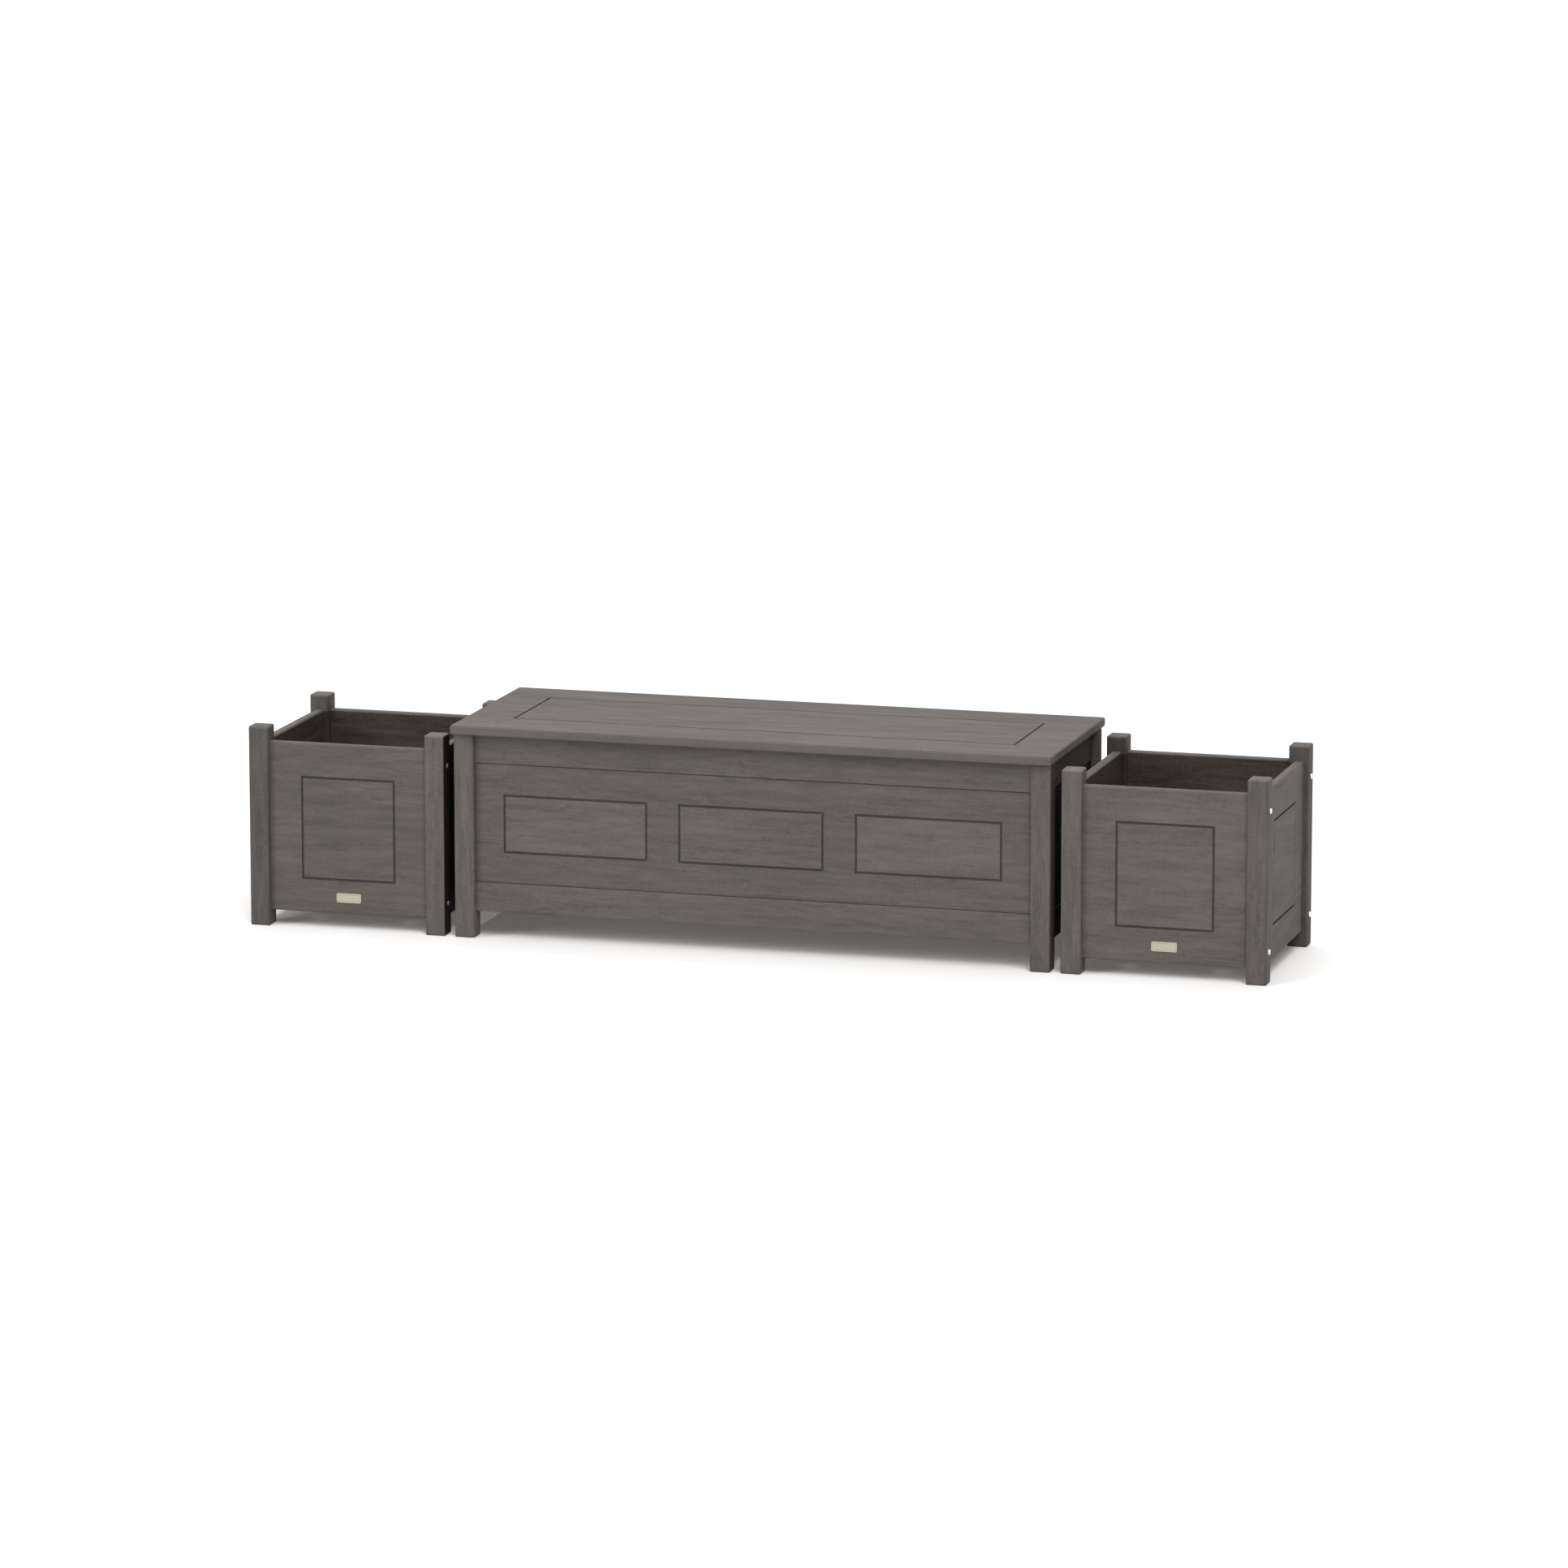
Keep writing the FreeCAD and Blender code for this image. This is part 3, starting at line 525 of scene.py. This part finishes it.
def steel(name, metal):
    """Plated steel with fine brush marks and a few darker specks, and painted shade in the narrow gaps.
    """
    g = Surface(name)
    vector, axes = g.place()
    marks = g.noise(vector, metal.brushed, *MARK_NOISE)
    specks = g.noise(vector, SPECKS, *SPECK_NOISE)
    shade = g.total(
        g.ramp(marks, *NOISE_RANGE, *MARK_TONES),
        g.ramp(specks, *SPECK_RANGE, 0.0, -SPECK_DARK),
    )
    # Painted shade on the bolts in the narrow gaps
    if metal.gap_dark:
        near = g.math("LESS_THAN", g.math("ABSOLUTE", axes["x"]), GAP_REACH)
        shade = g.product(shade, g.darker(near, metal.gap_dark))
    g.link(g.tint(metal.colour, shade), "Base Color")
    smooth, dull = (metal.rough + change for change in MARK_ROUGH)
    g.link(g.ramp(marks, *NOISE_RANGE, smooth, dull), "Roughness")
    g.fix(1.0, "Metallic")
    g.bump(marks, *MARK_BUMP)
    return g.material


def plate_metal(name, low, high):
    """Pale satin metal with one fine line inside its edge."""
    g = Surface(name)
    vector, axes = g.place()
    marks = g.noise(vector, PLATE_MARKS, *MARK_NOISE)
    distance = g.edge_distance(axes["x"], axes["z"], Field(low.x, high.x, low.z, high.z))
    line = g.ramp(g.apart(distance, -PLATE_LINE_INSET), *PLATE_LINE_FADE, 1.0, 0.0)
    tones = g.ramp(marks, *NOISE_RANGE, *PLATE_TONES)
    shade = g.math("SUBTRACT", tones, g.product(line, PLATE_LINE_DARK))
    g.link(g.tint(PLATE, shade), "Base Color")
    g.link(g.ramp(marks, *NOISE_RANGE, *PLATE_ROUGH), "Roughness")
    g.bump(g.math("SUBTRACT", g.product(marks, PLATE_MARK_RISE), line), *PLATE_BUMP)
    return g.material


def coat(thing, material):
    """Give an object one material."""
    thing.data.materials.clear()
    thing.data.materials.append(material)


def skin_about(axis, place):
    """The thin layer of space about a face."""
    return Skin(axis, place - SKIN_REACH, place + SKIN_REACH)


def outer_skin(name, low, high):
    """The outer skin of an upright panel."""
    axis = "x" if name.endswith(("left", "right")) else "y"
    corner = low if name.endswith(("left", "front")) else high
    return skin_about(axis, getattr(corner, axis))


def chest_fields():
    """The routed rectangles side by side on the chest's front, between its legs and rails."""
    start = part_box("chest_leg_front_left")[1].x + CHEST_FIELD_SIDE
    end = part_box("chest_leg_front_right")[0].x - CHEST_FIELD_SIDE
    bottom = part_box("chest_rail_front_bottom")[1].z + CHEST_FIELD_EDGE
    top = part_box("chest_rail_front_top")[0].z - CHEST_FIELD_EDGE
    step = (end - start + CHEST_FIELD_GAP) / len(CHEST_FIELD_GAINS)
    fields = []
    for index, gain in enumerate(CHEST_FIELD_GAINS):
        left = start + index * step
        fields.append(Field(left, left + step - CHEST_FIELD_GAP, bottom, top, gain))
    return fields


def box_field(low, high, skin):
    """The routed square in the middle of a planter panel."""
    centre = (low + high) / 2
    along = centre.x if skin.axis == "y" else centre.y
    half_width, half_height = BOX_FIELD_WIDTH / 2, BOX_FIELD_HEIGHT / 2
    return Field(along - half_width, along + half_width, centre.z - half_height, centre.z + half_height)


def lid_field(low, high):
    """The routed rectangle of the seat."""
    x = (low.x + LID_FIELD_END, high.x - LID_FIELD_END)
    y = (low.y + LID_FIELD_FRONT, high.y - LID_FIELD_BACK)
    return Field(*x, *y)


def grain_of(name, size):
    """The axis that a piece's grain follows."""
    if "slats" in name:
        return "y"
    if name.endswith("planter_floor"):
        return "x"
    if "planter_panel" in name:
        return "y" if name.endswith(("left", "right")) else "x"
    return "xyz"[max(range(3), key=lambda axis: size[axis])]


def depth_of(name, grain):
    """How strongly the grain of a piece shows."""
    if name == "lid_board":
        return SEAT_DEPTH
    return POST_DEPTH if grain == "z" else PANEL_DEPTH


def gap_of(name, low, high):
    """The distance from the middle of the face that lies in a narrow gap, and the tint of its painted
    shade.
    """
    near, far = sorted((abs(low.x), abs(high.x)))
    end_wall = name.startswith(("chest_panel", "chest_rail")) and ("_left" in name or "_right" in name)
    if name.startswith("chest_leg") or (end_wall and name.endswith("top")):
        return far, RAIL_GAP_SHADE
    if end_wall:
        return far, GAP_SHADE
    inner = "right" if name.startswith("left") else "left"
    if ("planter_post" in name or "planter_panel" in name) and name.endswith(inner):
        return near, LEFT_GAP_SHADE if inner == "right" else RAIL_GAP_SHADE
    return None


def inside_of(name):
    """The corners of the inside of the planter box that a piece belongs to."""
    side = name.split("_")[0]
    low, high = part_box(side + "_planter_floor")
    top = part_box(side + "_planter_panel_front")[1].z
    start = (low.x - INSIDE_REACH, low.y - INSIDE_REACH, high.z - SKIN_REACH)
    end = (high.x + INSIDE_REACH, high.y + INSIDE_REACH, top - SKIN_REACH)
    return start, end


def timber(name, seed):
    """Stained timber for a node, with the pattern of its own faces."""
    low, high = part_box(name)
    grain = grain_of(name, high - low)
    wood = Timber("timber_" + name, grain, seed, TONES.get(name, 1.0), depth_of(name, grain))
    if name == "chest_panel_front":
        wood.face(outer_skin(name, low, high), chest_fields(), LINE_PAINTED_SHADE["front"], CHEST_SEAMS)
    elif "planter_panel" in name:
        skin = outer_skin(name, low, high)
        dark = LINE_PAINTED_SHADE["front" if skin.axis == "y" else "side"]
        wood.face(skin, [box_field(low, high, skin)], dark, BOX_SEAMS)
    elif "planter_post" in name:
        # Painted highlight on the top of a post
        wood.end_highlight_and_tone("z", high.z - SKIN_REACH, POST_TOP_HIGHLIGHT)
    elif name == "lid_board":
        wood.face(skin_about("z", high.z), [lid_field(low, high)], LINE_PAINTED_SHADE["seat"])
        # Painted sheen, lighter at the front of the seat
        wood.seat(low.y + SEAT_FRONT_REACH)
        wood.end_highlight_and_tone("x", high.x - SEAT_END_REACH, SEAT_END_TONE)
    # Painted shade on a face in a narrow gap
    gap = gap_of(name, low, high)
    if gap:
        wood.gap(*gap)
    # Painted shade on the inside of a planter box
    if "planter" in name:
        wood.inside(*inside_of(name))
    wood.finish()
    return wood.material


def coat_all():
    """Materials for every node of the frame."""
    for index, name in enumerate(sorted(NODES)):
        if name in ("planter_bolts", "planter_barrel_nuts"):
            material = steel("bright_" + name, BOLT_METAL)
        elif name.startswith(("hinge_", "lid_stay_")):
            material = steel("satin_" + name, HINGE_METAL)
        elif name.endswith("name_plate"):
            material = plate_metal("plate_" + name, *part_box(name))
        else:
            material = timber(name, SEED_START + SEED_STEP * index)
        coat(NODES[name], material)


def circle(radius):
    """A round outline about the origin."""
    turns = [2 * math.pi * index / HEAD_SIDES for index in range(HEAD_SIDES)]
    return [Vector((radius * math.cos(turn), radius * math.sin(turn))) for turn in turns]


def cross(radius):
    """The outline of a cross recess about the origin, one arm after another."""
    reach, width = radius * CROSS_REACH, radius * CROSS_WIDTH
    arm = [Vector((reach, -width)), Vector((reach, width)), Vector((width, width))]
    turns = [Matrix.Rotation(quarter * math.pi / 2, 2) for quarter in range(4)]
    return [turn @ point for turn in turns for point in arm]


def pairs(loop):
    """Each corner of a closed loop with the next."""
    return list(zip(loop, loop[1:] + loop[:1]))


def band(mesh, lower, upper):
    """Faces between two loops of as many corners."""
    for (low_a, low_b), (high_a, high_b) in zip(pairs(lower), pairs(upper)):
        mesh.faces.new((low_a, low_b, high_b, high_a))


def screw_head(mesh, radius, height, towards, centre):
    """One screw head with a cross recess, domed above the surface that it sits on."""
    turn = towards.to_track_quat("Z", "Y").to_matrix()

    def ring(outline, level):
        return [mesh.verts.new(centre + turn @ Vector((*point, level))) for point in outline]

    rings = [ring(circle(radius * share), height * level) for share, level in HEAD_PROFILE]
    mouth = ring(cross(radius), height)
    floor = ring(cross(radius * CROSS_FLOOR), height * CROSS_LEVEL)
    for lower, upper in zip(rings, rings[1:]):
        band(mesh, lower, upper)
    band(mesh, floor, mouth)
    mesh.faces.new(floor)
    edges = [mesh.edges.get(pair) for pair in pairs(rings[-1]) + pairs(mouth)]
    bmesh.ops.triangle_fill(mesh, edges=edges, use_beauty=True)
    mesh.faces.new(list(reversed(rings[0])))


def screws(name, body, head, towards, places):
    """Some screws as one piece that rides on a body."""
    mesh = bmesh.new()
    for place in places:
        screw_head(mesh, *head, Vector(towards), Vector(place))
    bmesh.ops.recalc_face_normals(mesh, faces=mesh.faces)
    data = bpy.data.meshes.new(name)
    mesh.to_mesh(data)
    mesh.free()
    piece = bpy.data.objects.new(name, data)
    bpy.context.scene.collection.objects.link(piece)
    coat(piece, steel("screw_steel_" + name, SCREW_METAL))
    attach(piece, body)


def hinge_screws(body, leaf, towards, height):
    """The screws of both hinges in their fixed leaves or in those under the lid."""
    places = []
    for side in SIDES:
        low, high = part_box("hinge_leaf_" + leaf + "_" + side)
        pitch = (high.x - low.x) / HINGE_SCREWS
        for index in range(HINGE_SCREWS):
            places.append((low.x + pitch * (index + 0.5), low.y + HINGE_SCREW_IN, height))
    screws("hinge_screws_" + body, body, HINGE_HEAD, towards, places)


def foot_screws():
    """Two screws in the foot of each stay's bracket under the lid."""
    places = []
    for side, sign in SIDES.items():
        low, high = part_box("lid_stay_bracket_" + side)
        centre = (low + high) / 2
        for step in (-FOOT_SCREW_STEP, FOOT_SCREW_STEP):
            places.append((centre.x - sign * FOOT_SCREW_IN, centre.y + step, high.z - FOOT_THICK))
    screws("stay_screws_lid", "lid", FOOT_HEAD, DOWN, places)


def stud_screws(side, sign):
    """Two screws in the plate of a stay's stud, on the side rail."""
    low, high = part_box("lid_stay_stud_" + side)
    centre = (low + high) / 2
    rail = high.x if sign > 0 else low.x
    steps = (-STUD_SCREW_STEP, STUD_SCREW_STEP)
    places = [(rail - sign * STUD_PLATE_THICK, centre.y + step, centre.z) for step in steps]
    screws("stay_screws_" + side, "base", STUD_HEAD, (-sign, 0.0, 0.0), places)


def batten_screws():
    """Three screws in each batten."""
    places = []
    for side in SIDES:
        low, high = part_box("lid_batten_" + side)
        for step in (-1, 0, 1):
            places.append(((low.x + high.x) / 2, step * BATTEN_SCREW_STEP, low.z))
    screws("batten_screws", "lid", BATTEN_HEAD, DOWN, places)


def floor_rows(node, steps):
    """Places by the front and back edges of a floor's top, at steps from its middle."""
    low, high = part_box(node)
    middle = (low.x + high.x) / 2
    edges = (low.y + FLOOR_SCREW_IN, high.y - FLOOR_SCREW_IN)
    return [(middle + step, y, high.z) for step in steps for y in edges]


def floor_screws():
    """The screws of the chest's floor slats and of the planter floors."""
    low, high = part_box("chest_floor_slats")
    pitch = (high.x - low.x - SLAT_WIDTH) / (SLATS - 1)
    steps = [pitch * (index - (SLATS - 1) / 2) for index in range(SLATS)]
    screws("slat_screws", "base", FLOOR_HEAD, UP, floor_rows("chest_floor_slats", steps))
    places = []
    for side in SIDES:
        places += floor_rows(side + "_planter_floor", (-FLOOR_SCREW_STEP, 0.0, FLOOR_SCREW_STEP))
    screws("planter_floor_screws", "base", FLOOR_HEAD, UP, places)


def all_screws():
    """The small screws of the hinges, the stays, the battens and the floors."""
    closing_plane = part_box("lid_board")[0].z
    hinge_screws("base", "fixed", UP, closing_plane - LEAF_SINK)
    hinge_screws("lid", "lid", DOWN, closing_plane + LEAF_SINK)
    foot_screws()
    for side, sign in SIDES.items():
        stud_screws(side, sign)
    batten_screws()
    floor_screws()


def stage():
    """A wide pale floor, with a painted glow as seen that lifts and warms its shadows."""
    mesh = bpy.data.meshes.new("floor")
    grid = bmesh.new()
    bmesh.ops.create_grid(grid, x_segments=FLOOR_CELLS, y_segments=FLOOR_CELLS, size=FLOOR_REACH)
    grid.to_mesh(mesh)
    grid.free()
    floor = bpy.data.objects.new("floor", mesh)
    bpy.context.scene.collection.objects.link(floor)
    g = Surface("floor")
    seen = g.seen()
    shade = g.ramp(seen, 0.0, 1.0, FLOOR_TONE, FLOOR_SEEN)
    g.link(g.tint(WHITE, shade), "Base Color")
    # A painted glow as seen, which lifts and warms the floor's shadows
    g.link(seen, "Emission Strength")
    g.fix((*FLOOR_PAINTED_GLOW, 1.0), "Emission Color")
    g.fix(FLOOR_ROUGH, "Roughness")
    g.fix(0.0, "Specular IOR Level")
    coat(floor, g.material)


def lamps():
    """Soft lamps round the object, stronger from the right of its front."""
    for name, (turn, rise, strength, width) in LAMPS.items():
        sun = bpy.data.lights.new(name, "SUN")
        sun.energy = strength
        sun.angle = math.radians(width)
        lamp = bpy.data.objects.new(name, sun)
        bpy.context.scene.collection.objects.link(lamp)
        turn, rise = math.radians(turn), math.radians(rise)
        towards = Vector((
            math.sin(turn) * math.cos(rise),
            -math.cos(turn) * math.cos(rise),
            math.sin(rise),
        ))
        lamp.rotation_mode = "QUATERNION"
        lamp.rotation_quaternion = towards.to_track_quat("Z", "Y")


def surroundings():
    """White behind everything and in reflections, with no light of its own."""
    world = bpy.data.worlds.new("surroundings")
    bpy.context.scene.world = world
    world.use_nodes = True
    g = Graph(world.node_tree)
    g.tree.nodes.clear()
    back = g.node("Background", {"Color": (*WHITE, 1.0), "Strength": g.seen()})
    g.node("OutputWorld", {"Surface": back.outputs[0]})


camera()
coat_all()
all_screws()
stage()
lamps()
surroundings()
bpy.context.scene.view_settings.view_transform = "Standard"
